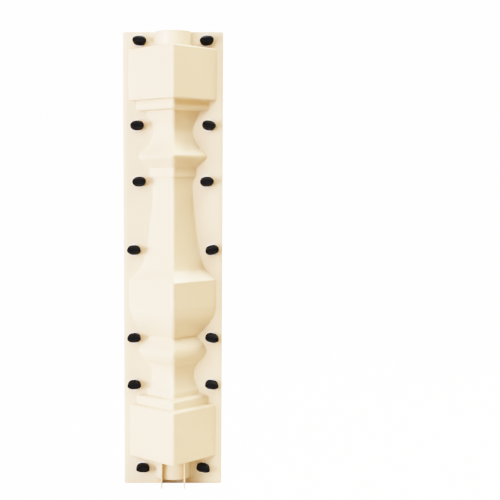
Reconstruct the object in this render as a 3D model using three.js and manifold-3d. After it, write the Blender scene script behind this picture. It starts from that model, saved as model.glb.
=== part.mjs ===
// A casting mould for a square baluster, in ivory plastic. Two alike half shells meet on a flat flange
// and fourteen wing bolts hold them together. The concrete goes in through the collar at the top.
// Millimetres, +Z up, the axis of the baluster on Z, the foot of the mould on Z = 0, the front on -Y.
import * as THREE from 'three';
import { mergeVertices } from 'three/addons/utils/BufferGeometryUtils.js';
import Module from 'manifold-3d';

const wasm = await Module();
wasm.setup();

// Shells
const mouldHeight = 750;
const flangeWidth = 164;
const flangeThickness = 3;
const flangeCornerRadius = 3;
const wall = 3;
const partingGap = 0.3;

// Pour collar at the top, cup for the lower peg at the bottom, ribs that the mould stands on
const collarRadius = 30;
const cupBottom = 12.5;
const ribSpacing = 38;
const ribThickness = 2.5;
const ribReach = 37;

// Heights on the baluster, from the foot up
const bottomBlockBottom = 47.5;
const bottomBlockTop = 136;
const bottomFilletTop = 152;
const lowerNeckFoot = 161.5;
const lowerNeck = 185;
const lowerRing = 226.5;
const bellyCrease = 251.5;
const bellyBottom = 301.5;
const bellyTop = 345.5;
const shaftNeck = 491;
const bandBottom = 515.5;
const bandTop = 529.5;
const upperRing = 550;
const upperNeck = 590;
const topFilletBottom = 623;
const topBlockBottom = 639;
const topBlockTop = 723;

// Each half is parted at its necks into plain lengths of trough, from the foot up: name, upper end
const shellLengths = [
  { name: 'foot', top: lowerNeck },
  { name: 'lower_ring', top: bellyCrease + 2 * wall },
  { name: 'belly', top: shaftNeck },
  { name: 'upper_ring', top: upperNeck },
  { name: 'head', top: mouldHeight + wall },
];
const lengthGap = 0.1;

// Reach of the square section from the axis to its corners
const blockReach = 75;
const filletReach = 63;
const filletNoseReach = 58.7;
const filletNoseHeight = 7.5;
const ledgeRound = 5;
const ringReach = 59;
const neckTopReach = 46.8;
const lowerNeckFootReach = 46.2;
const lowerNeckReach = 37.7;
const bellyCreaseReach = 42;
const shaftReach = 35.6;
const bandReach = 41;
const upperNeckReach = 35.2;

// Bolts in seven pairs, from the top down: height, distance from the axis, turn of the left and right head
const boltRows = [
  { height: 735.5, offset: 54.5, leftTurn: -4, rightTurn: 7 },
  { height: 599, offset: 58.5, leftTurn: 2, rightTurn: -9 },
  { height: 507.5, offset: 55.5, leftTurn: 3, rightTurn: 3 },
  { height: 395, offset: 64.5, leftTurn: -1, rightTurn: 13 },
  { height: 248.5, offset: 64.5, leftTurn: 4, rightTurn: -12 },
  { height: 169.5, offset: 64.5, leftTurn: 2, rightTurn: -9 },
  { height: 28, offset: 50.5, leftTurn: 0, rightTurn: -13 },
];
const fitGap = 0.3;
const shankRadius = 3;
const shankChamfer = 0.8;
const shankPastNut = 2.5;
const holeRadius = 3.6;
const washerRadius = 10.3;
const washerThickness = 1.5;
const nutAcrossFlats = 10;
const nutThickness = 5;
const headLength = 15;
const headSpan = 21.2;
const headThickness = 16.4;
const wingSpan = 22.6;
const wingThickness = 7;
const wingRise = 0.5;
const headFall = 1.7;
const headSquareness = 2.6;
const headRimShare = 0.92;

// Fineness of the round parts
const curveSteps = 2;
const outlineSteps = 3;
const collarSides = 28;
const holeSides = 8;
const washerSides = 16;
const headSides = 16;
const headLevels = [0, 0.3, 0.55, 0.78, 0.95];

const washerFace = partingGap / 2 + flangeThickness + fitGap;
const headSeat = washerFace + washerThickness + fitGap;
const nutFace = -washerFace;
const shankEnd = nutFace - nutThickness - shankPastNut;

function toSolid(geometry) {
  const bare = geometry.clone();
  bare.deleteAttribute('normal');
  bare.deleteAttribute('uv');
  const welded = mergeVertices(bare, 1e-4);
  const index = welded.index.array;
  const corners = [];
  for (let i = 0; i < index.length; i += 3) {
    const [a, b, c] = index.slice(i, i + 3);
    if (a !== b && b !== c && c !== a) corners.push(a, b, c);
  }
  return new wasm.Manifold(new wasm.Mesh({
    numProp: 3,
    vertProperties: new Float32Array(welded.attributes.position.array),
    triVerts: new Uint32Array(corners),
  }));
}

function toGeometry(solid) {
  const mesh = solid.getMesh();
  const geometry = new THREE.BufferGeometry();
  geometry.setAttribute('position', new THREE.BufferAttribute(mesh.vertProperties, 3));
  geometry.setIndex(new THREE.BufferAttribute(mesh.triVerts, 1));
  geometry.computeVertexNormals();
  return geometry;
}

// A turned solid on the Z axis. Four sides give a square section with its corners on X and Y.
function turned(points, sides) {
  return new THREE.LatheGeometry(points, sides).rotateX(Math.PI / 2);
}

function toPoints(pairs) {
  return pairs.map(([x, y]) => new THREE.Vector2(x, y));
}

function cylinder(radius, bottom, top, sides) {
  return turned(toPoints([[0, bottom], [radius, bottom], [radius, top], [0, top]]), sides);
}

// An outline in X and Z, given a thickness across the Y = 0 plane
function standing(outline, thickness) {
  const options = { depth: thickness, bevelEnabled: false, curveSegments: outlineSteps };
  return new THREE.ExtrudeGeometry(outline, options).translate(0, 0, -thickness / 2).rotateX(Math.PI / 2);
}

function box(width, depth, height, x, y, z) {
  return new THREE.BoxGeometry(width, depth, height).translate(x, y, z);
}

// A wall up to a ledge, with the edge between them rounded
function roundedLedge(path, reach, height) {
  path.lineTo(reach, height - ledgeRound);
  path.quadraticCurveTo(reach, height, reach - ledgeRound * Math.SQRT2, height);
}

// Outline of the baluster from the foot up: reach of the corners, height
function balusterProfile() {
  const at = (reach, height) => new THREE.Vector2(reach, height);
  const path = new THREE.Path();
  path.moveTo(0, bottomBlockBottom);
  path.lineTo(blockReach, bottomBlockBottom);
  // Two ledges with rounded edges
  roundedLedge(path, blockReach, bottomBlockTop);
  path.lineTo(filletReach, bottomBlockTop);
  roundedLedge(path, filletReach, bottomFilletTop);
  path.lineTo(neckTopReach, bottomFilletTop);
  path.lineTo(lowerNeckFootReach, lowerNeckFoot);
  // Hollow neck into the lower ring
  path.splineThru([at(41.4, 170), at(lowerNeckReach, lowerNeck), at(39.4, 197), at(43.9, 206)]);
  path.splineThru([
    at(51.5, 213),
    at(57.3, 220.5),
    at(ringReach, lowerRing),
    at(58.4, 231.5),
    at(55.3, 236.5),
  ]);
  path.lineTo(bellyCreaseReach, bellyCrease);
  // Rounded underside of the belly
  path.splineThru([
    at(49.7, 257.5),
    at(58.5, 267),
    at(66, 276.5),
    at(72, 287.5),
    at(blockReach, bellyBottom),
  ]);
  path.lineTo(blockReach, bellyTop);
  // Shaft, flaring out to the edge of the belly
  path.splineThru([
    at(62.3, 358),
    at(56.6, 363.5),
    at(52.2, 373.5),
    at(48.6, 386.5),
    at(43.6, 412.5),
    at(39.2, 448),
    at(36.4, 473),
    at(shaftReach, shaftNeck),
    at(36.2, 504),
    at(38.3, 512.5),
  ]);
  path.lineTo(bandReach, bandBottom);
  path.lineTo(bandReach, bandTop);
  // Upper ring
  path.lineTo(53.6, 541);
  path.splineThru([at(57.9, 545), at(ringReach, upperRing), at(53.6, 556.5)]);
  // Hollow neck under the top block
  path.splineThru([
    at(47.6, 561.5),
    at(41.2, 570),
    at(37.2, 580),
    at(upperNeckReach, upperNeck),
    at(37.2, 599.5),
    at(41.4, 608),
    at(45.4, 616.5),
  ]);
  path.lineTo(neckTopReach, topFilletBottom);
  path.lineTo(filletNoseReach, topFilletBottom);
  path.quadraticCurveTo(filletReach, topFilletBottom, filletReach, topFilletBottom + filletNoseHeight);
  path.lineTo(filletReach, topBlockBottom);
  path.lineTo(blockReach, topBlockBottom);
  path.lineTo(blockReach, topBlockTop);
  path.lineTo(0, topBlockTop);
  return path.getPoints(curveSteps);
}

// The outline moved in by a wall that is measured square to the faces of the square section
function insetProfile(profile, distance) {
  const face = profile.map((point) => new THREE.Vector2(point.x / Math.SQRT2, point.y));
  const inward = [];
  for (let i = 0; i + 1 < face.length; i += 1) {
    const along = face[i + 1].clone().sub(face[i]).normalize();
    inward.push(new THREE.Vector2(-along.y, along.x));
  }
  return face.map((point, i) => {
    const before = inward[Math.max(i - 1, 0)];
    const after = inward[Math.min(i, inward.length - 1)];
    const step = before.clone().add(after).multiplyScalar(distance / (1 + before.dot(after)));
    return new THREE.Vector2((point.x + step.x) * Math.SQRT2, point.y + step.y);
  });
}

function flangePlate() {
  const half = flangeWidth / 2;
  const r = flangeCornerRadius;
  const outline = new THREE.Shape();
  outline.moveTo(-half + r, 0);
  outline.lineTo(half - r, 0);
  outline.quadraticCurveTo(half, 0, half, r);
  outline.lineTo(half, mouldHeight - r);
  outline.quadraticCurveTo(half, mouldHeight, half - r, mouldHeight);
  outline.lineTo(-half + r, mouldHeight);
  outline.quadraticCurveTo(-half, mouldHeight, -half, mouldHeight - r);
  outline.lineTo(-half, r);
  outline.quadraticCurveTo(-half, 0, -half + r, 0);
  return standing(outline, partingGap + 2 * flangeThickness);
}

function boltHole(x, z) {
  const reach = 2 * flangeThickness;
  const hole = cylinder(holeRadius, -reach, reach, holeSides).rotateX(Math.PI / 2);
  return hole.translate(x, 0, z);
}

// The half shell in front of the parting plane
function halfShell() {
  const profile = balusterProfile();
  const boreRadius = collarRadius - wall;
  const ribHeight = bottomBlockBottom + wall / 2;
  let shell = toSolid(turned(profile, 4));
  shell = shell.add(toSolid(cylinder(collarRadius, topBlockTop - wall / 2, mouldHeight, collarSides)));
  shell = shell.add(toSolid(cylinder(collarRadius, cupBottom, ribHeight, collarSides)));
  shell = shell.add(toSolid(flangePlate()));
  for (const side of [-1, 1]) {
    const rib = box(ribThickness, ribReach, ribHeight, side * ribSpacing / 2, -ribReach / 2, ribHeight / 2);
    shell = shell.add(toSolid(rib));
  }
  shell = shell.subtract(toSolid(turned(insetProfile(profile, wall), 4)));
  const mouthBottom = topBlockTop - 2 * wall;
  const cupTop = bottomBlockBottom + 2 * wall;
  shell = shell.subtract(toSolid(cylinder(boreRadius, mouthBottom, mouldHeight + wall, collarSides)));
  shell = shell.subtract(toSolid(cylinder(boreRadius, cupBottom + wall, cupTop, collarSides)));
  for (const row of boltRows) {
    shell = shell.subtract(toSolid(boltHole(-row.offset, row.height)));
    shell = shell.subtract(toSolid(boltHole(row.offset, row.height)));
  }
  const front = box(2 * flangeWidth, flangeWidth, 2 * mouldHeight, 0, -(flangeWidth + partingGap) / 2, 0);
  return shell.intersect(toSolid(front));
}

// The part of a half shell between two heights
function shellLength(shell, bottom, top) {
  const height = top - bottom - lengthGap;
  const slab = box(2 * flangeWidth, 2 * flangeWidth, height, 0, 0, (bottom + top) / 2);
  return toGeometry(shell.intersect(toSolid(slab)));
}

// Squares off a round section a little
function squaredOff(share) {
  return Math.sign(share) * Math.abs(share) ** (2 / headSquareness);
}

// A wing head along Z: a full oval on the washer that turns into a wider, thinner bar at the front
function wingHead() {
  const { clamp, lerp, smoothstep } = THREE.MathUtils;
  const top = headSeat + headLength;
  const sides = headLevels.map((level) => [1, headSeat + level * headLength]);
  const head = turned(toPoints([[0, headSeat], ...sides, [headRimShare, top], [0, top]]), headSides);
  const place = head.attributes.position;
  for (let i = 0; i < place.count; i += 1) {
    const level = clamp((place.getZ(i) - headSeat) / headLength, 0, 1);
    const span = lerp(headSpan, wingSpan, smoothstep(level, 0, wingRise));
    const thickness = lerp(headThickness, wingThickness, level ** headFall);
    place.setX(i, squaredOff(place.getX(i)) * span / 2);
    place.setY(i, squaredOff(place.getY(i)) * thickness / 2);
  }
  return head;
}

// A wing bolt along Z: the parting plane at 0, the head up
function wingBolt() {
  const shank = [
    [0, shankEnd],
    [shankRadius - shankChamfer, shankEnd],
    [shankRadius, shankEnd + shankChamfer],
    [shankRadius, headSeat + shankRadius],
    [0, headSeat + shankRadius],
  ];
  const bolt = toSolid(wingHead()).add(toSolid(turned(toPoints(shank), holeSides)));
  return toGeometry(bolt);
}

// A flat ring along Z, round or with six sides
function ring(outerRadius, boreRadius, bottom, top, sides) {
  const outer = toSolid(cylinder(outerRadius, bottom, top, sides));
  const bore = toSolid(cylinder(boreRadius, bottom - 1, top + 1, holeSides));
  return toGeometry(outer.subtract(bore));
}

const ivoryPlastic = { color: 0xf0e4c8, roughness: 0.4, metalness: 0 };
const blackPlastic = { color: 0x1d1d20, roughness: 0.45, metalness: 0 };
const zincSteel = { color: 0xd9d9d6, roughness: 0.35, metalness: 1 };

const boltGeometry = wingBolt();
const boreRadius = shankRadius + fitGap;
const washerGeometry = ring(washerRadius, boreRadius, washerFace, washerFace + washerThickness, washerSides);
const nutRadius = nutAcrossFlats / Math.sqrt(3);
const nutGeometry = ring(nutRadius, boreRadius, nutFace - nutThickness, nutFace, 6);

function addMesh(parent, name, geometry, finish) {
  const mesh = new THREE.Mesh(geometry, new THREE.MeshStandardMaterial(finish));
  mesh.name = name;
  parent.add(mesh);
  return mesh;
}

const group = new THREE.Group();
const frontHalf = new THREE.Group();
const backHalf = new THREE.Group();
backHalf.rotation.z = Math.PI;
group.add(frontHalf, backHalf);

const shell = halfShell();
let lengthBottom = -wall;
for (const { name, top } of shellLengths) {
  const geometry = shellLength(shell, lengthBottom, top);
  addMesh(frontHalf, `front_half_${name}`, geometry, ivoryPlastic);
  addMesh(backHalf, `back_half_${name}`, geometry, ivoryPlastic);
  lengthBottom = top;
}

boltRows.forEach((row, index) => {
  for (const side of ['left', 'right']) {
    const fastener = new THREE.Group();
    const number = index + 1;
    fastener.position.set(side === 'left' ? -row.offset : row.offset, 0, row.height);
    fastener.rotation.x = Math.PI / 2;
    const bolt = addMesh(fastener, `wing_bolt_${side}_${number}`, boltGeometry, blackPlastic);
    bolt.rotation.z = THREE.MathUtils.degToRad(side === 'left' ? row.leftTurn : row.rightTurn);
    addMesh(fastener, `washer_${side}_${number}`, washerGeometry, zincSteel);
    addMesh(fastener, `nut_${side}_${number}`, nutGeometry, zincSteel);
    group.add(fastener);
  }
});

export default group;
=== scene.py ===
import bpy
import math
import numpy as np
from mathutils import Matrix


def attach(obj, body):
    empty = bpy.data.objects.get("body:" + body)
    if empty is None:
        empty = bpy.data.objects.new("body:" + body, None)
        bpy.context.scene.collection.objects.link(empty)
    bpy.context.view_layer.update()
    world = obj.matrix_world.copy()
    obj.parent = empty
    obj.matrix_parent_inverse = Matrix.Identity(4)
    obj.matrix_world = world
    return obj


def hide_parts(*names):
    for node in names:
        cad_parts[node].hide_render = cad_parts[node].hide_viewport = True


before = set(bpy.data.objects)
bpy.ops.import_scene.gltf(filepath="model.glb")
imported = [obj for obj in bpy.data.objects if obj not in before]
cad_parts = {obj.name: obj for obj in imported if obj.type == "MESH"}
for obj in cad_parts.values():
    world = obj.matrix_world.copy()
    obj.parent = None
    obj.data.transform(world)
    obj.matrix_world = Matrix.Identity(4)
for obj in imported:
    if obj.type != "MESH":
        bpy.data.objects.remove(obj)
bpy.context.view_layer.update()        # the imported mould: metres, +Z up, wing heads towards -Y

mm = 0.001
scene = bpy.context.scene
print("frame loaded:", len(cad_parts), "nodes")


# small helpers for meshes

def meshFrom(name, points, faces):
    mesh = bpy.data.meshes.new(name)
    mesh.from_pydata([tuple(p) for p in points], [], faces)
    mesh.validate()
    return mesh


def placeObject(name, mesh):
    piece = bpy.data.objects.new(name, mesh)
    scene.collection.objects.link(piece)
    return piece


def carve(piece, tool, how):
    # boolean with the tool, kept as plain mesh; the tool goes
    step = piece.modifiers.new(how, "BOOLEAN")
    step.operation = how
    step.object = tool
    step.solver = "EXACT"
    graph = bpy.context.evaluated_depsgraph_get()
    mesh = bpy.data.meshes.new_from_object(piece.evaluated_get(graph))
    piece.modifiers.clear()
    piece.data = mesh
    bpy.data.objects.remove(tool)


def softShade(mesh, sharpDegrees):
    mesh.polygons.foreach_set("use_smooth", [True] * len(mesh.polygons))
    mesh.set_sharp_from_angle(angle=math.radians(sharpDegrees))


def ringFaces(rings, around, closeFirst=False, closeLast=False):
    # quads between stacked rings of the same count; ends may be closed with one face
    faces = []
    for i in range(rings - 1):
        for j in range(around):
            k = (j + 1) % around
            faces.append((i * around + j, i * around + k, (i + 1) * around + k, (i + 1) * around + j))
    if closeFirst:
        faces.append(tuple(reversed(range(around))))
    if closeLast:
        faces.append(tuple((rings - 1) * around + j for j in range(around)))
    return faces


# half shell: sizes in mm; reach is from the axis to a corner of the square section

shell = dict(
    height=750, width=164, partingGap=0.3, wall=3.0, plate=3.0,
    plateCorner=3.0, plateEdge=0.8,            # easing of the flange in plan and at its rim
    rimBand=5.5, rimFall=0.7,                  # the flange thins a little along its sides
    rimEase=0.3, rimStart=0.06,                # soft start of that band, and its share of the fall
    collar=30.0, bore=27.0, rimRound=0.9,      # pour collar and cup
    cupBottom=12.5, cupRound=2.2, cupFillet=1.5,
    blockBottom=47.5, blockTop=723.0,
    footFillet=2.0,                            # hollow between trough and flange
    ridgeRound=5.5, innerRidge=1.4,            # front edge of the trough, outside and inside
    cornerRound=2.6, creaseRound=1.1,          # edges and hollows of the mouldings
    cornerFrom=12, cornerShare=0.96, cornerPoints=9,   # degrees that count as a corner, room it may take
    ribGap=38.0, ribThick=2.5, ribReach=37.0, ribRound=0.55,
    rowStep=9.0, closest=0.012, tidy=0.018,    # longest and shortest row, how far rows may stray
    pathStep=0.5, innerStep=0.25, searchStep=0.05,     # how finely the outline and the wall are followed
    tiny=0.15, sharp=38,
)

# outline from the foot up, (reach, height), one stretch per moulding; a third number is a corner's
# own rounding
outline = [
    ("line", [(58, 47.5), (75, 47.7), (75, 136, 5), (63, 136.3), (63, 152, 5),
              (46.8, 152.3), (46.2, 161.5)]),                                    # bottom block
    ("curve", [(41.4, 170), (37.7, 185), (39.4, 197), (43.9, 206)]),                         # lower neck
    ("curve", [(51.5, 213), (57.3, 220.5), (59, 226.5), (58.4, 231.5), (55.3, 236.5)]),      # lower ring
    ("line", [(42, 251.5)]),                                                                 # crease
    ("curve", [(49.7, 257.5), (58.5, 267), (66, 276.5), (72, 287.5), (75, 301.5)]),          # belly
    ("line", [(75, 345.5, 1.6)]),
    ("curve", [(62.3, 358), (56.6, 363.5), (52.2, 373.5), (48.6, 386.5), (43.6, 412.5),
               (39.2, 448), (36.4, 473), (35.6, 491), (36.2, 504), (38.3, 512.5)]),          # shaft
    ("line", [(41, 515.5), (41, 529.5), (53.6, 541)]),                                       # band
    ("curve", [(57.9, 545), (59, 550), (53.6, 556.5)]),                                      # upper ring
    ("curve", [(47.6, 561.5), (41.2, 570), (37.2, 580), (35.2, 590), (37.2, 599.5),
               (41.4, 608), (45.4, 616.5)]),                                                 # upper neck
    ("line", [(46.8, 622.7), (58.7, 623)]),
    ("curve", [(60.6, 623.5), (61.9, 624.9), (62.7, 627.2), (63, 630.5)]),                   # nose
    ("line", [(63, 639), (75, 639.3), (75, 722.8), (58, 723)]),                              # top block
]

columns = dict(edge=4, flange=3, foot=5, face=6, ridge=5)     # points across half a section


def curveThrough(points, step):
    p = np.array([points[0]] + points + [points[-1]], float)
    found = []
    for i in range(1, len(p) - 2):
        count = max(2, int(np.hypot(*(p[i + 1] - p[i])) / step))
        for t in np.arange(count) / count:
            bendA = (p[i + 1] - p[i - 1]) / 2
            bendB = (p[i + 2] - p[i]) / 2
            found.append(p[i] + bendA * t + (3 * (p[i + 1] - p[i]) - 2 * bendA - bendB) * t * t
                         + (2 * (p[i] - p[i + 1]) + bendA + bendB) * t ** 3)
    return found


def lineThrough(points, step):
    found = []
    for a, b in zip(points[:-1], points[1:]):
        count = max(1, int(math.dist(a, b) / step))
        found += [np.array(a) + (np.array(b) - np.array(a)) * t for t in np.arange(count) / count]
    return found


def easeCorners(path, own, s):
    # every corner becomes a short arc: wide on edges, tight in hollows, or as its point says
    along = np.concatenate([[0], np.cumsum(np.hypot(*np.diff(path, axis=0).T))])
    at = lambda d: np.array([np.interp(d, along, path[:, 0]), np.interp(d, along, path[:, 1])])
    corners = []
    for i in range(1, len(path) - 1):
        a, b = path[i] - path[i - 1], path[i + 1] - path[i]
        turn = math.atan2(a[0] * b[1] - a[1] * b[0], a @ b)
        if abs(turn) > math.radians(s["cornerFrom"]):
            wanted = own.get(path[i][1], s["cornerRound"] if turn > 0 else s["creaseRound"])
            corners.append((along[i], wanted * math.tan(abs(turn) / 2)))
    arcs = []
    for i, (c, wanted) in enumerate(corners):      # neighbours share the way between them
        near = [corners[j] for j in (i - 1, i + 1) if 0 <= j < len(corners)]
        share = [s["cornerShare"] * abs(c - d) * wanted / (wanted + other) for d, other in near]
        arcs.append((c, min([wanted] + share)))
    eased = [(d, p) for d, p in zip(along, path) if all(abs(d - c) >= cut for c, cut in arcs)]
    for c, cut in arcs:
        a, m, b = at(c - cut), at(c), at(c + cut)
        for t in np.linspace(0, 1, s["cornerPoints"]):
            eased.append((c + (2 * t - 1) * cut, a * (1 - t) ** 2 + m * 2 * t * (1 - t) + b * t * t))
    eased.sort(key=lambda e: e[0])
    return np.array([p for d, p in eased])


def thin(path, slack):
    # leave out points that lie on the line between their neighbours
    keep = {0, len(path) - 1}
    spans = [(0, len(path) - 1)]
    while spans:
        a, b = spans.pop()
        if b - a < 2:
            continue
        way = path[b] - path[a]
        off = path[a + 1:b] - path[a]
        gap = np.abs(off[:, 0] * way[1] - off[:, 1] * way[0]) / max(np.hypot(*way), 1e-9)
        worst = int(np.argmax(gap))
        if gap[worst] > slack:
            keep.add(a + 1 + worst)
            spans += [(a, a + 1 + worst), (a + 1 + worst, b)]
    return path[sorted(keep)]


def outlineFaces(s):
    # distance of the outer and inner faces from the axis, against height
    path, last, own = [], None, {}
    for kind, points in outline:
        own.update({point[1]: point[2] for point in points if len(point) > 2})
        points = ([last] if last else []) + [point[:2] for point in points]
        follow = curveThrough if kind == "curve" else lineThrough
        path += follow(points, s["pathStep"])
        last = points[-1]
    path = np.array(path + [np.array(last)])
    path[:, 0] /= math.sqrt(2)
    outer = easeCorners(path, own, s)
    outer[:, 1] = np.maximum.accumulate(outer[:, 1]) + np.arange(len(outer)) * 1e-5
    heights = np.arange(s["blockBottom"] + s["wall"], s["blockTop"] - s["wall"] + 0.01, s["innerStep"])
    fine = np.arange(outer[0, 1], outer[-1, 1], s["searchStep"])
    spread = np.vstack([outer, np.column_stack([np.interp(fine, outer[:, 1], outer[:, 0]), fine])])
    inner = []
    for z in heights:      # whatever lies within a wall of the outer face is plastic
        near = spread[np.abs(spread[:, 1] - z) < s["wall"]]
        inner.append((np.min(near[:, 0] - np.sqrt(s["wall"] ** 2 - (near[:, 1] - z) ** 2)), z))
    return thin(outer, s["tidy"]), thin(np.array(inner), s["tidy"])


def roundIn(depth, radius):
    # how far a rounded edge falls back at this depth from its end
    if depth >= radius:
        return 0.0
    return radius - math.sqrt(radius ** 2 - (radius - max(depth, 0)) ** 2)


def spreadAlong(a, b, count):
    ways = np.arange(1, count + 1) / (count + 1)
    return [(a[0] + (b[0] - a[0]) * t, a[1] + (b[1] - a[1]) * t) for t in ways]


def squareSection(reach, face, fillet, ridge):
    # right half from the flange to the front edge: (x, towards the viewer)
    cx, cy = reach - face + fillet * (math.sqrt(2) - 1), face + fillet
    foot = [(cx + fillet * math.cos(a), cy + fillet * math.sin(a))
            for a in np.radians(np.linspace(-90, -135, columns["foot"]))]
    tip = [(ridge * math.cos(a), reach - ridge * math.sqrt(2) + ridge * math.sin(a))
           for a in np.radians(np.linspace(45, 90, columns["ridge"]))]
    return foot + spreadAlong(foot[-1], tip[0], columns["face"]) + tip


def roundSection(radius, face, fillet):
    cy = face + fillet
    cx = math.sqrt((radius + fillet) ** 2 - cy ** 2)
    back = math.degrees(math.atan2(-cy, -cx))
    foot = [(cx + fillet * math.cos(a), cy + fillet * math.sin(a))
            for a in np.radians(np.linspace(-90, back, columns["foot"]))]
    start = math.degrees(math.atan2(foot[-1][1], foot[-1][0]))
    angles = np.radians(np.linspace(start, 90, columns["face"] + columns["ridge"] + 1)[1:])
    return foot + [(radius * math.cos(a), radius * math.sin(a)) for a in angles]


def outerHalf(z, s, outer):
    fromEnd = min(z, s["height"] - z)
    half = s["width"] / 2 - roundIn(fromEnd, s["plateCorner"])
    face = s["partingGap"] / 2 + s["plate"] - roundIn(fromEnd, s["plateEdge"])
    edge = s["plateEdge"]
    rim = [(half, s["partingGap"] / 2)]
    rim += [(half - edge + edge * math.cos(a), face - s["rimFall"] - edge + edge * math.sin(a))
            for a in np.linspace(0, math.pi / 2, columns["edge"])]
    rim += [(half - s["rimBand"] + s["rimEase"], face - s["rimFall"] * s["rimStart"]),
            (half - s["rimBand"] - s["rimEase"], face)]
    switch = s["tiny"] / 2
    if z < s["cupBottom"] + switch:
        body = [(x, face) for x, y in roundSection(s["collar"] - s["cupRound"], face, s["footFillet"])]
    elif z < s["blockBottom"] + switch:
        radius = s["collar"] - roundIn(z - s["cupBottom"] - s["tiny"], s["cupRound"])
        radius += roundIn(s["blockBottom"] - z, s["cupFillet"])
        body = roundSection(radius, face, s["footFillet"])
    elif z < s["blockTop"] + switch:
        reach = np.interp(z, outer[:, 1], outer[:, 0]) * math.sqrt(2)
        body = squareSection(reach, face, s["footFillet"], s["ridgeRound"])
    else:
        radius = s["collar"] - roundIn(s["height"] - z, s["rimRound"])
        radius += roundIn(z - s["blockTop"] - s["tiny"], s["cupFillet"])
        body = roundSection(radius, face, s["footFillet"])
    return rim + spreadAlong(rim[-1], body[0], columns["flange"]) + body


def innerHalf(z, s, inner):
    half = s["width"] / 2 - roundIn(min(z, s["height"] - z), s["plateCorner"])
    mate = s["partingGap"] / 2
    switch = s["tiny"] / 2
    bore = s["bore"] + roundIn(s["height"] - z, s["rimRound"])
    cupFloor = s["cupBottom"] + s["wall"]
    low, high = s["blockBottom"] + s["wall"], s["blockTop"] - s["wall"]
    count = columns["face"] + columns["ridge"] + 1
    if low + switch <= z < high + switch:
        reach = np.interp(z, inner[:, 1], inner[:, 0]) * math.sqrt(2)
        ridge = s["innerRidge"]
        tip = [(ridge * math.cos(a), reach - ridge * math.sqrt(2) + ridge * math.sin(a))
               for a in np.radians(np.linspace(45, 90, columns["ridge"]))]
        corner = (reach - mate, mate)
        body = [corner] + spreadAlong(corner, tip[0], columns["face"]) + tip
    else:
        start = math.asin(mate / bore)
        body = [(bore * math.cos(a), bore * math.sin(a)) for a in np.linspace(start, math.pi / 2, count)]
        if z < cupFloor + switch:
            body = [(x, mate) for x, y in body]
    seam = columns["edge"] + columns["flange"] + columns["foot"] + 1      # as many as on the outer face
    return [(half, mate)] + spreadAlong((half, mate), body[0], seam) + body


def bothSides(half):
    return half + [(-x, y) for x, y in half[-2::-1]]


def halfShellMesh(s):
    outer, inner = outlineFaces(s)
    ends = [0, 0.08, 0.25, 0.5, s["plateEdge"], 1.4, 2.1, s["plateCorner"]]
    rows = ends + [s["height"] - e for e in ends] + list(outer[:, 1]) + list(inner[:, 1])
    cupLevel, low, high = s["cupBottom"], s["blockBottom"], s["blockTop"]
    for level in (cupLevel, cupLevel + s["wall"], low, low + s["wall"], high - s["wall"], high):
        rows += [level, level + s["tiny"]]
    filletSteps = (0.06, 0.2, 0.45, 0.7, 1)
    rows += [cupLevel + s["tiny"] + s["cupRound"] * k for k in (0.06, 0.2, 0.4, 0.7, 1)]
    rows += [low - s["cupFillet"] * k for k in filletSteps]
    rows += [high + s["tiny"] + s["cupFillet"] * k for k in filletSteps]
    rows = sorted(rows)
    spaced = [rows[0]]
    for z in rows[1:]:
        if z - spaced[-1] < s["closest"]:
            continue
        for k in range(1, math.ceil((z - spaced[-1]) / s["rowStep"])):
            spaced.append(spaced[-1] + s["rowStep"])
        spaced.append(z)
    spaced[-1] = s["height"]
    points, faces = [], []
    wide = len(bothSides(outerHalf(0, s, outer)))
    for z in spaced:
        points += [(x * mm, -y * mm, z * mm) for x, y in bothSides(outerHalf(z, s, outer))]
    for z in spaced:
        points += [(x * mm, -y * mm, z * mm) for x, y in bothSides(innerHalf(z, s, inner))]
    skip = wide * len(spaced)

    def inside(i, j):     # the outermost columns belong to both faces
        return i * wide + j if j in (0, wide - 1) else skip + i * wide + j

    def addFace(*corners):
        corners = list(dict.fromkeys(corners))
        if len(corners) > 2:
            faces.append(corners)

    for i in range(len(spaced) - 1):
        for j in range(wide - 1):
            addFace(i * wide + j, (i + 1) * wide + j, (i + 1) * wide + j + 1, i * wide + j + 1)
            addFace(inside(i, j), inside(i, j + 1), inside(i + 1, j + 1), inside(i + 1, j))
    top = len(spaced) - 1
    for j in range(wide - 1):
        addFace(j, j + 1, inside(0, j + 1), inside(0, j))
        addFace(top * wide + j, inside(top, j), inside(top, j + 1), top * wide + j + 1)
    used = sorted({k for face in faces for k in face})
    place = {k: n for n, k in enumerate(used)}
    return meshFrom("halfShell", [points[k] for k in used], [[place[k] for k in face] for face in faces])


def ribMesh(s, side):
    # thin plate under the cup and the block, its rim eased
    face, cup = s["plate"] / 2, s["cupBottom"] + s["wall"] / 2
    top = s["blockBottom"] + s["wall"] / 2
    wallMid = math.sqrt(((s["collar"] + s["bore"]) / 2) ** 2 - (s["ribGap"] / 2) ** 2)
    r = s["ribRound"]
    inward = [(wallMid, top), (wallMid, cup), (face, cup)]
    loop = [(face, 0), (s["ribReach"], 0), (s["ribReach"], top)] + inward
    inset = [(face, r), (s["ribReach"] - r, r), (s["ribReach"] - r, top)] + inward
    points = []
    # half the thickness at each step, and the easing there
    eased = ((0.28, 0), (0.36, 0.1), (0.47, 0.5), (0.5, 1.0))
    for depth, ease in [(-d, e) for d, e in reversed(eased)] + list(eased):
        for (ay, az), (by, bz) in zip(loop, inset):
            x = side * s["ribGap"] / 2 + depth * s["ribThick"]
            points.append((x * mm, -(ay + (by - ay) * ease) * mm, (az + (bz - az) * ease) * mm))
    return meshFrom("rib", points, ringFaces(2 * len(eased), len(loop), True, True))


# bolts through the flange: height, distance from the axis, turn of the left and right wing head

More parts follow.
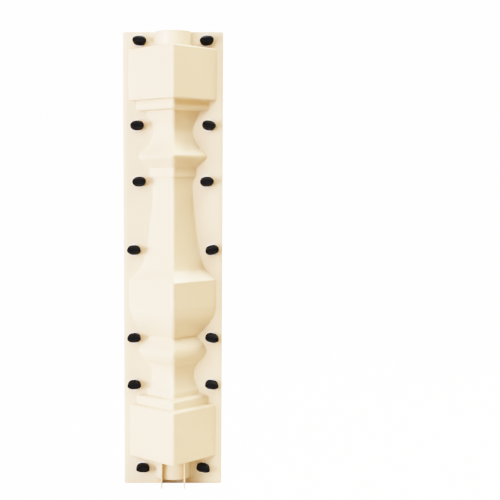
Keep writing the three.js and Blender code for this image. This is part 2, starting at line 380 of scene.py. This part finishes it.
boltRows = [
    dict(height=735.5, offset=54.5, left=-4, right=7),
    dict(height=599, offset=58.5, left=2, right=-9),
    dict(height=507.5, offset=55.5, left=3, right=3),
    dict(height=395, offset=64.5, left=-1, right=13),
    dict(height=248.5, offset=64.5, left=4, right=-12),
    dict(height=169.5, offset=64.5, left=2, right=-9),
    dict(height=28, offset=50.5, left=0, right=-13),
]
boltHole = dict(radius=3.6, sides=28, depth=12)
bolts = [dict(name=f"{side}_{n + 1}", x=row["offset"] * way, z=row["height"], turn=row[side])
         for n, row in enumerate(boltRows) for side, way in (("left", -1), ("right", 1))]


def holeCutters(holes, h):
    points, faces = [], []
    for bolt in holes:
        start = len(points)
        for y in (-h["depth"], h["depth"]):
            for a in np.linspace(0, 2 * math.pi, h["sides"], endpoint=False):
                points.append(((bolt["x"] + h["radius"] * math.cos(a)) * mm, y * mm,
                               (bolt["z"] + h["radius"] * math.sin(a)) * mm))
        faces += [tuple(k + start for k in face) for face in ringFaces(2, h["sides"], True, True)]
    return meshFrom("boltHoles", points, faces)


# wing bolt: local +Z points to the viewer, 0 is the parting plane; the wings lie along X

wingBolt = dict(
    seat=5.25, front=20.25, around=72,
    headSpan=21.2, headThick=16.4,             # full oval on the washer
    wingSpan=22.6, wingThick=7.0,              # bar at the front
    wingRise=0.5, headFall=1.7, square=2.6,    # where the bar has its full span, how the oval thins
    seatRound=0.5, rimRound=1.1, hollow=0.5,
    shank=3.0, shankAround=30, rooted=2.0,     # rooted: how far the shank runs into the head
    tail=-10.95, tailChamfer=0.8,
    threadTop=-7.6, runOut=0.4, pitch=1.0, threadDepth=0.5, rowsPerTurn=9,
    grooveWide=1.25, grooveFlat=0.12, sharp=42,
)


def smoothStep(t):
    t = min(max(t, 0), 1)
    return t * t * (3 - 2 * t)


def headSection(t, w):
    # oval at this height above the seat, squared off a little
    length = w["front"] - w["seat"]
    level = t / length
    fall = roundIn(length - t, w["rimRound"]) + roundIn(t, w["seatRound"])
    span = w["headSpan"] + (w["wingSpan"] - w["headSpan"]) * smoothStep(level / w["wingRise"])
    depth = w["headThick"] + (w["wingThick"] - w["headThick"]) * level ** w["headFall"]
    half, thick = span / 2 - fall, depth / 2 - fall
    bend = 2 / w["square"]
    return [(half * math.copysign(abs(math.cos(a)) ** bend, math.cos(a)),
             thick * math.copysign(abs(math.sin(a)) ** bend, math.sin(a)))
            for a in np.linspace(0, 2 * math.pi, w["around"], endpoint=False)]


def wingHead(w):
    length = w["front"] - w["seat"]
    points, rings = [], 0
    for scale in (0.45, 0.75):                               # underside
        points += [(x * scale, y * scale, w["seat"]) for x, y in headSection(0, w)]
        rings += 1
    sides = list(np.linspace(0, w["seatRound"], 4)) + list(np.linspace(1.2, length - w["rimRound"], 14))
    sides += [length - w["rimRound"] * k for k in (0.72, 0.45, 0.22, 0.07, 0)]
    for t in sides:
        points += [(x, y, w["seat"] + t) for x, y in headSection(t, w)]
        rings += 1
    for scale in (0.94, 0.84, 0.7, 0.52, 0.33, 0.12):        # front, a touch hollow
        sink = w["hollow"] * (1 - scale ** 2)
        points += [(x * scale, y * scale, w["front"] - sink) for x, y in headSection(length, w)]
        rings += 1
    return points, ringFaces(rings, w["around"], True, True)


def threadedShank(w):
    around = w["shankAround"]
    rows = [w["tail"]] + list(np.arange(w["tail"] + 0.05, w["threadTop"], w["pitch"] / w["rowsPerTurn"]))
    rows += [w["threadTop"] + w["runOut"], w["seat"] + w["rooted"]]
    points = []
    for z in rows:
        for k in range(around):
            turn = k / around
            groove = abs(((z / w["pitch"] - turn) % 1) * 2 - 1)
            cut = w["threadDepth"] * smoothStep(groove * w["grooveWide"] - w["grooveFlat"])
            cut = cut if z < w["threadTop"] else 0
            r = min(w["shank"] - cut, w["shank"] - w["tailChamfer"] + (z - w["tail"]))
            points.append((r * math.cos(2 * math.pi * turn), r * math.sin(2 * math.pi * turn), z))
    return points, ringFaces(len(rows), around, True, True)


def joinShells(name, shells):
    points, faces, owners = [], [], []
    for number, (somePoints, someFaces) in enumerate(shells):
        faces += [tuple(k + len(points) for k in face) for face in someFaces]
        owners += [number] * len(someFaces)
        points += somePoints
    mesh = bpy.data.meshes.new(name)
    mesh.from_pydata([(x * mm, y * mm, z * mm) for x, y, z in points], [], faces)
    mesh.polygons.foreach_set("material_index", owners)
    return mesh


# washer and nut, same local frame as the bolt

washer = dict(inner=3.4, outer=10.3, back=3.45, front=4.95, edge=0.32, edgePoints=4, around=72, sharp=42)
nut = dict(flats=10.0, back=-8.45, front=-3.45, bore=3.3, boreChamfer=0.5, crown=0.95, tilt=30,
           around=72, sharp=25)


def washerMesh(p):
    loop = []
    for r, z, turn in ((p["inner"], p["back"], 180), (p["outer"], p["back"], 270),
                       (p["outer"], p["front"], 0), (p["inner"], p["front"], 90)):
        inX = 1 if r == p["inner"] else -1
        inZ = 1 if z == p["back"] else -1
        for a in np.radians(np.linspace(turn, turn + 90, p["edgePoints"])):
            loop.append((r + (inX + math.cos(a)) * p["edge"], z + (inZ + math.sin(a)) * p["edge"]))
    points = []
    for r, z in loop + loop[:1]:
        points += [(r * math.cos(a) * mm, r * math.sin(a) * mm, z * mm)
                   for a in np.linspace(0, 2 * math.pi, p["around"], endpoint=False)]
    around, rings = p["around"], len(loop)
    faces = [tuple(k % (around * rings) for k in face) for face in ringFaces(rings + 1, around)]
    return meshFrom("washer", points[:around * rings], faces)


def nutMesh(p):
    angles = np.linspace(0, 2 * math.pi, p["around"], endpoint=False)
    hexReach = [p["flats"] / 2 / math.cos((a + math.pi / 6) % (math.pi / 3) - math.pi / 6) for a in angles]
    crown = p["flats"] / 2 * p["crown"]
    fall = [(r - crown) * math.tan(math.radians(p["tilt"])) for r in hexReach]
    rings = []
    for end, way in ((p["back"], 1), (p["front"], -1)):
        ring = [[(p["bore"], end + way * p["boreChamfer"])] * len(angles),
                [(p["bore"] + p["boreChamfer"], end)] * len(angles),
                [(crown, end)] * len(angles),
                [(r, end + way * f) for r, f in zip(hexReach, fall)]]
        rings += ring if way > 0 else ring[::-1]
    points = []
    for ring in rings:
        points += [(r * math.cos(a) * mm, r * math.sin(a) * mm, z * mm) for (r, z), a in zip(ring, angles)]
    around, count = p["around"], len(rings)
    faces = [tuple(k % (around * count) for k in face) for face in ringFaces(count + 1, around)]
    return meshFrom("nut", points, faces)


# shader groups shared by the materials

def newGroup(name, inputs, outputs):
    tree = bpy.data.node_groups.new(name, "ShaderNodeTree")
    for label, kind, value in inputs:
        socket = tree.interface.new_socket(label, in_out="INPUT", socket_type=kind)
        if value is not None:
            socket.default_value = value
    for label, kind in outputs:
        tree.interface.new_socket(label, in_out="OUTPUT", socket_type=kind)
    return tree, tree.nodes.new("NodeGroupInput"), tree.nodes.new("NodeGroupOutput")


def addNode(tree, kind, **settings):
    node = tree.nodes.new(kind)
    for key, value in settings.items():
        setattr(node, key, value)
    return node


def setInputs(node, **values):
    for key, value in values.items():
        node.inputs[key].default_value = value
    return node


def mapRange(tree, source, lowIn, highIn, lowOut=0.0, highOut=1.0):
    node = addNode(tree, "ShaderNodeMapRange", interpolation_type="SMOOTHSTEP")
    setInputs(node, **{"From Min": lowIn, "From Max": highIn, "To Min": lowOut, "To Max": highOut})
    tree.links.new(source, node.inputs["Value"])
    return node.outputs["Result"]


def buildMottle():
    # slow cloudy change over the surface
    inputs = [("Place", "NodeSocketVector", None), ("Scale", "NodeSocketFloat", 20.0)]
    tree, into, out = newGroup("softMottle", inputs, [("Mask", "NodeSocketFloat")])
    noise = setInputs(addNode(tree, "ShaderNodeTexNoise"), Detail=3.0, Roughness=0.55)
    tree.links.new(into.outputs["Place"], noise.inputs["Vector"])
    tree.links.new(into.outputs["Scale"], noise.inputs["Scale"])
    tree.links.new(mapRange(tree, noise.outputs["Fac"], 0.34, 0.66), out.inputs["Mask"])
    return tree


def buildGrain():
    # fine moulded grain over a long soft wave of the sheet
    inputs = [("Place", "NodeSocketVector", None), ("Grain Scale", "NodeSocketFloat", 900.0),
              ("Wave Scale", "NodeSocketFloat", 14.0)]
    tree, into, out = newGroup("mouldedGrain", inputs,
                               [("Grain", "NodeSocketFloat"), ("Wave", "NodeSocketFloat")])
    for label, detail in (("Grain", 2.0), ("Wave", 1.0)):
        noise = setInputs(addNode(tree, "ShaderNodeTexNoise"), Detail=detail, Roughness=0.5)
        tree.links.new(into.outputs["Place"], noise.inputs["Vector"])
        tree.links.new(into.outputs[label + " Scale"], noise.inputs["Scale"])
        tree.links.new(noise.outputs["Fac"], out.inputs[label])
    return tree


def buildMarks():
    # thin rubbed lines, long one way
    inputs = [("Place", "NodeSocketVector", None), ("Stretch", "NodeSocketVector", None),
              ("Scale", "NodeSocketFloat", 60.0)]
    tree, into, out = newGroup("rubbedMarks", inputs, [("Mask", "NodeSocketFloat")])
    stretch = addNode(tree, "ShaderNodeVectorMath", operation="MULTIPLY")
    tree.links.new(into.outputs["Place"], stretch.inputs[0])
    tree.links.new(into.outputs["Stretch"], stretch.inputs[1])
    noise = setInputs(addNode(tree, "ShaderNodeTexNoise"), Detail=4.0, Roughness=0.6, Distortion=0.3)
    tree.links.new(stretch.outputs[0], noise.inputs["Vector"])
    tree.links.new(into.outputs["Scale"], noise.inputs["Scale"])
    tree.links.new(mapRange(tree, noise.outputs["Fac"], 0.62, 0.72), out.inputs["Mask"])
    return tree


softMottle, mouldedGrain, rubbedMarks = buildMottle(), buildGrain(), buildMarks()
print("shader groups ready")


# materials

def newMaterial(name):
    material = bpy.data.materials.new(name)
    material.use_nodes = True
    tree = material.node_tree
    place = addNode(tree, "ShaderNodeTexCoord").outputs["Object"]
    return material, tree, tree.nodes["Principled BSDF"], place


def useGroup(tree, group, place, **values):
    node = addNode(tree, "ShaderNodeGroup", node_tree=group)
    tree.links.new(place, node.inputs["Place"])
    for key, value in values.items():
        node.inputs[key.replace("_", " ")].default_value = value
    return node


def mixColours(tree, factor, low, high):
    node = addNode(tree, "ShaderNodeMix", data_type="RGBA")
    tree.links.new(factor, node.inputs["Factor"])
    for socket, value in ((node.inputs[6], low), (node.inputs[7], high)):
        if isinstance(value, tuple):
            socket.default_value = (*value, 1)
        else:
            tree.links.new(value, socket)
    return node.outputs[2]


def addBump(tree, height, strength, distance, before=None):
    node = setInputs(addNode(tree, "ShaderNodeBump"), Strength=strength, Distance=distance)
    tree.links.new(height, node.inputs["Height"])
    if before is not None:
        tree.links.new(before, node.inputs["Normal"])
    return node.outputs["Normal"]


# ivory: the crease colour and its reach are painted shade, a deeper warm tone laid into creases and hollows
ivory = dict(pale=(0.880, 0.745, 0.545), deep=(0.868, 0.722, 0.512), mottle=9.0,
             rubbed=(0.89, 0.775, 0.60), marks=170.0, stretch=(1.0, 1.0, 0.06), rubbedShow=0.25,
             creaseShade=(0.78, 0.52, 0.26), creaseShadeReach=0.014, creaseShadeFull=0.15, creaseShadeEnd=0.72,
             gloss=0.30, dull=0.42,
             grain=1100.0, grainDepth=0.00004, wave=11.0, waveDepth=0.0014, bump=0.5)
black = dict(pale=(0.0045, 0.0045, 0.0055), deep=(0.0025, 0.0025, 0.0032), mottle=160.0,
             gloss=0.55, dull=0.68, specular=0.03, grain=2600.0, grainDepth=0.00006, bump=0.6)
plating = dict(mottle=300.0, marks=900.0, stretch=(1.0, 0.1, 1.0),
               grain=3200.0, grainDepth=0.00002, bump=0.4)
zinc = dict(plating, pale=(0.98, 0.98, 0.98), deep=(0.93, 0.93, 0.94), metal=0.08, gloss=0.30, dull=0.45)
steel = dict(plating, pale=(0.55, 0.57, 0.60), deep=(0.44, 0.46, 0.50), metal=0.45, gloss=0.28, dull=0.42)


def ivoryPlastic(c):
    material, tree, shader, place = newMaterial("ivoryPlastic")
    mottle = useGroup(tree, softMottle, place, Scale=c["mottle"]).outputs["Mask"]
    marks = useGroup(tree, rubbedMarks, place, Stretch=c["stretch"], Scale=c["marks"]).outputs["Mask"]
    grain = useGroup(tree, mouldedGrain, place, Grain_Scale=c["grain"], Wave_Scale=c["wave"])
    colour = mixColours(tree, mottle, c["pale"], c["deep"])
    colour = mixColours(tree, mapRange(tree, marks, 0, 1, 0, c["rubbedShow"]), colour, c["rubbed"])
    # painted shade: ambient occlusion turns the colour a warm brown in creases and hollows, standing in for
    # the shade there and for light shining through the thin plastic
    hollow = setInputs(addNode(tree, "ShaderNodeAmbientOcclusion", samples=6), Distance=c["creaseShadeReach"])
    paintedCreaseShade = mapRange(tree, hollow.outputs["AO"], c["creaseShadeFull"], c["creaseShadeEnd"], 1, 0)
    colour = mixColours(tree, paintedCreaseShade, colour, c["creaseShade"])
    tree.links.new(colour, shader.inputs["Base Color"])
    tree.links.new(mapRange(tree, mottle, 0, 1, c["gloss"], c["dull"]), shader.inputs["Roughness"])
    normal = addBump(tree, grain.outputs["Wave"], c["bump"], c["waveDepth"])
    normal = addBump(tree, grain.outputs["Grain"], c["bump"], c["grainDepth"], normal)
    tree.links.new(normal, shader.inputs["Normal"])
    return material


def blackPlastic(c):
    material, tree, shader, place = newMaterial("blackPlastic")
    shader.inputs["Specular IOR Level"].default_value = c["specular"]
    mottle = useGroup(tree, softMottle, place, Scale=c["mottle"]).outputs["Mask"]
    grain = useGroup(tree, mouldedGrain, place, Grain_Scale=c["grain"])
    tree.links.new(mixColours(tree, mottle, c["deep"], c["pale"]), shader.inputs["Base Color"])
    tree.links.new(mapRange(tree, mottle, 0, 1, c["gloss"], c["dull"]), shader.inputs["Roughness"])
    normal = addBump(tree, grain.outputs["Grain"], c["bump"], c["grainDepth"])
    tree.links.new(normal, shader.inputs["Normal"])
    return material


def platedSteel(name, c):
    material, tree, shader, place = newMaterial(name)
    shader.inputs["Metallic"].default_value = c["metal"]
    mottle = useGroup(tree, softMottle, place, Scale=c["mottle"]).outputs["Mask"]
    marks = useGroup(tree, rubbedMarks, place, Stretch=c["stretch"], Scale=c["marks"]).outputs["Mask"]
    grain = useGroup(tree, mouldedGrain, place, Grain_Scale=c["grain"])
    tree.links.new(mixColours(tree, mottle, c["pale"], c["deep"]), shader.inputs["Base Color"])
    tree.links.new(mapRange(tree, marks, 0, 1, c["gloss"], c["dull"]), shader.inputs["Roughness"])
    normal = addBump(tree, grain.outputs["Grain"], c["bump"], c["grainDepth"])
    tree.links.new(normal, shader.inputs["Normal"])
    return material


ivoryMaterial, blackMaterial = ivoryPlastic(ivory), blackPlastic(black)
zincMaterial, steelMaterial = platedSteel("zincWasher", zinc), platedSteel("platedSteel", steel)
print("materials ready")


# pieces

def finishPiece(piece, nodeNames, materials, sharpDegrees):
    for material in materials:
        piece.data.materials.append(material)
    softShade(piece.data, sharpDegrees)
    step = piece.modifiers.new("even shading", "WEIGHTED_NORMAL")
    step.keep_sharp = True
    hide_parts(*nodeNames)
    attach(piece, "root")


frontHalf = placeObject("frontHalfShell", halfShellMesh(shell))
for side in (-1, 1):
    carve(frontHalf, placeObject("rib", ribMesh(shell, side)), "UNION")
carve(frontHalf, placeObject("boltHoles", holeCutters(bolts, boltHole)), "DIFFERENCE")
backMesh = frontHalf.data.copy()
backMesh.transform(Matrix.Rotation(math.pi, 4, "Z"))
backHalf = placeObject("backHalfShell", backMesh)
lengths = ("foot", "lower_ring", "belly", "upper_ring", "head")       # the solids part each half in five
finishPiece(frontHalf, ["front_half_" + name for name in lengths], [ivoryMaterial], shell["sharp"])
finishPiece(backHalf, ["back_half_" + name for name in lengths], [ivoryMaterial], shell["sharp"])
print("half shells:", len(frontHalf.data.polygons), "faces each")

toViewer = Matrix.Rotation(math.pi / 2, 4, "X")
headShell, shankShell = wingHead(wingBolt), threadedShank(wingBolt)
for bolt in bolts:
    place = Matrix.Translation((bolt["x"] * mm, 0, bolt["z"] * mm)) @ toViewer
    turned = place @ Matrix.Rotation(math.radians(bolt["turn"]), 4, "Z")
    piece = placeObject("wingBolt_" + bolt["name"], joinShells("wingBolt", (headShell, shankShell)))
    piece.data.transform(turned)
    finishPiece(piece, ["wing_bolt_" + bolt["name"]], [blackMaterial, steelMaterial],
                wingBolt["sharp"])
    piece = placeObject("roundWasher_" + bolt["name"], washerMesh(washer))
    piece.data.transform(turned)
    finishPiece(piece, ["washer_" + bolt["name"]], [zincMaterial], washer["sharp"])
    piece = placeObject("hexNut_" + bolt["name"], nutMesh(nut))
    piece.data.transform(turned)
    finishPiece(piece, ["nut_" + bolt["name"]], [steelMaterial], nut["sharp"])
print("bolts, washers and nuts:", len(bolts), "of each")


# white sweep: floor that turns up into a wall

sweep = dict(width=9.0, near=-0.5, bend=2.0, radius=1.2, bendPoints=24, top=6.0, sharp=60,
             colour=(0.66, 0.59, 0.47), rough=0.9, glow=(3.6, 3.7, 3.9))


def sweepMesh(p):
    line = [(p["near"], 0), (0, 0), (p["bend"], 0)]
    line += [(p["bend"] + p["radius"] * math.sin(a), p["radius"] * (1 - math.cos(a)))
             for a in np.linspace(0, math.pi / 2, p["bendPoints"])[1:]]
    line.append((p["bend"] + p["radius"], p["top"]))
    points = [(x, y, z) for y, z in line for x in (-p["width"] / 2, p["width"] / 2)]
    faces = [(2 * i, 2 * i + 1, 2 * i + 3, 2 * i + 2) for i in range(len(line) - 1)]
    return meshFrom("sweep", points, faces)


floor = placeObject("sweep", sweepMesh(sweep))
softShade(floor.data, sweep["sharp"])
paper, paperTree, paperShader = newMaterial("sweepPaper")[:3]
paperShader.inputs["Base Color"].default_value = (*sweep["colour"], 1)
paperShader.inputs["Roughness"].default_value = sweep["rough"]
paperShader.inputs["Emission Color"].default_value = (*sweep["glow"], 1)
seen = addNode(paperTree, "ShaderNodeLightPath").outputs["Is Camera Ray"]      # white to the eye only
paperTree.links.new(seen, paperShader.inputs["Emission Strength"])
floor.data.materials.append(paper)


# lights: a soft key on the left, one higher in front, one high on the right, a rim that catches the ledges,
# one for the back, and a warm room

lights = dict(
    key=dict(turn=-48, rise=0, away=2.6, size=1.6, power=144, colour=(0.74, 0.83, 1.0)),
    high=dict(turn=-24, rise=36, away=2.6, size=1.4, power=50, colour=(0.85, 0.90, 1.0)),
    side=dict(turn=60, rise=62, away=2.4, size=1.2, power=54, colour=(0.82, 1.0, 0.95)),
    rim=dict(turn=114, rise=44, away=2.4, size=1.2, power=80, colour=(1.0, 1.0, 0.96)),
    back=dict(turn=180, rise=50, away=2.4, size=1.2, power=48, colour=(0.84, 0.92, 1.0)),
)
aim = (0, 0, 0.40)
surround = dict(colour=(1.0, 0.47, 0.02), strength=0.80, backdrop=4.2)


def addLamp(name, p, place, target):
    data = bpy.data.lights.new(name, "AREA")
    data.shape = "DISK"
    data.size = p["size"]
    data.energy = p["power"]
    data.color = p["colour"]
    lamp = placeObject(name, data)
    look = np.array(target) - np.array(place)
    lamp.location = place
    lamp.rotation_euler = (math.pi / 2 + math.atan2(look[2], math.hypot(look[0], look[1])), 0,
                           math.atan2(-look[0], look[1]))


for name, p in lights.items():
    turn, rise = math.radians(p["turn"]), math.radians(p["rise"])
    way = np.array((math.sin(turn) * math.cos(rise), -math.cos(turn) * math.cos(rise), math.sin(rise)))
    addLamp(name, p, np.array(aim) + way * p["away"], aim)

world = bpy.data.worlds.new("surround")
scene.world = world
world.use_nodes = True
sky = world.node_tree.nodes["Background"]
sky.inputs["Color"].default_value = (*surround["colour"], 1)
sky.inputs["Strength"].default_value = surround["strength"]
white = addNode(world.node_tree, "ShaderNodeBackground")        # the eye sees white behind everything
white.inputs["Strength"].default_value = surround["backdrop"]
choose = addNode(world.node_tree, "ShaderNodeMixShader")
path = addNode(world.node_tree, "ShaderNodeLightPath")
world.node_tree.links.new(path.outputs["Is Camera Ray"], choose.inputs["Fac"])
world.node_tree.links.new(sky.outputs[0], choose.inputs[1])
world.node_tree.links.new(white.outputs[0], choose.inputs[2])
world.node_tree.links.new(choose.outputs[0], world.node_tree.nodes["World Output"].inputs["Surface"])
print("stage and lights ready")


# camera: straight on, tipped down a little; axisAt and middleAt are where its axis meets the picture

view = dict(focal=1070, picture=500, axisAt=173, middleAt=281.8, distance=1.772, height=0.5076, tip=5.35)

camera = bpy.data.cameras.new("camera")
camera.sensor_width = 36
camera.lens = view["focal"] / view["picture"] * camera.sensor_width
camera.shift_x = 0.5 - view["axisAt"] / view["picture"]
camera.shift_y = view["middleAt"] / view["picture"] - 0.5
cameraObject = placeObject("camera", camera)
cameraObject.location = (0, -view["distance"], view["height"])
cameraObject.rotation_euler = (math.radians(90 - view["tip"]), 0, 0)
scene.camera = cameraObject
scene.view_settings.view_transform = "Standard"
scene.view_settings.look = "None"

# soft shoulder, so that the lit faces stay short of white
tone = dict(white=5.0, points=11)
scene.view_settings.use_curve_mapping = True
curve = scene.view_settings.curve_mapping
curve.white_level = (tone["white"],) * 3
bend = curve.curves[3].points
for k in range(1, tone["points"] - 1):
    at = (k / (tone["points"] - 1)) ** 2
    bend.new(at, 1 - math.exp(-at * tone["white"]))
bend[len(bend) - 1].location = (1.0, 1 - math.exp(-tone["white"]))
curve.update()
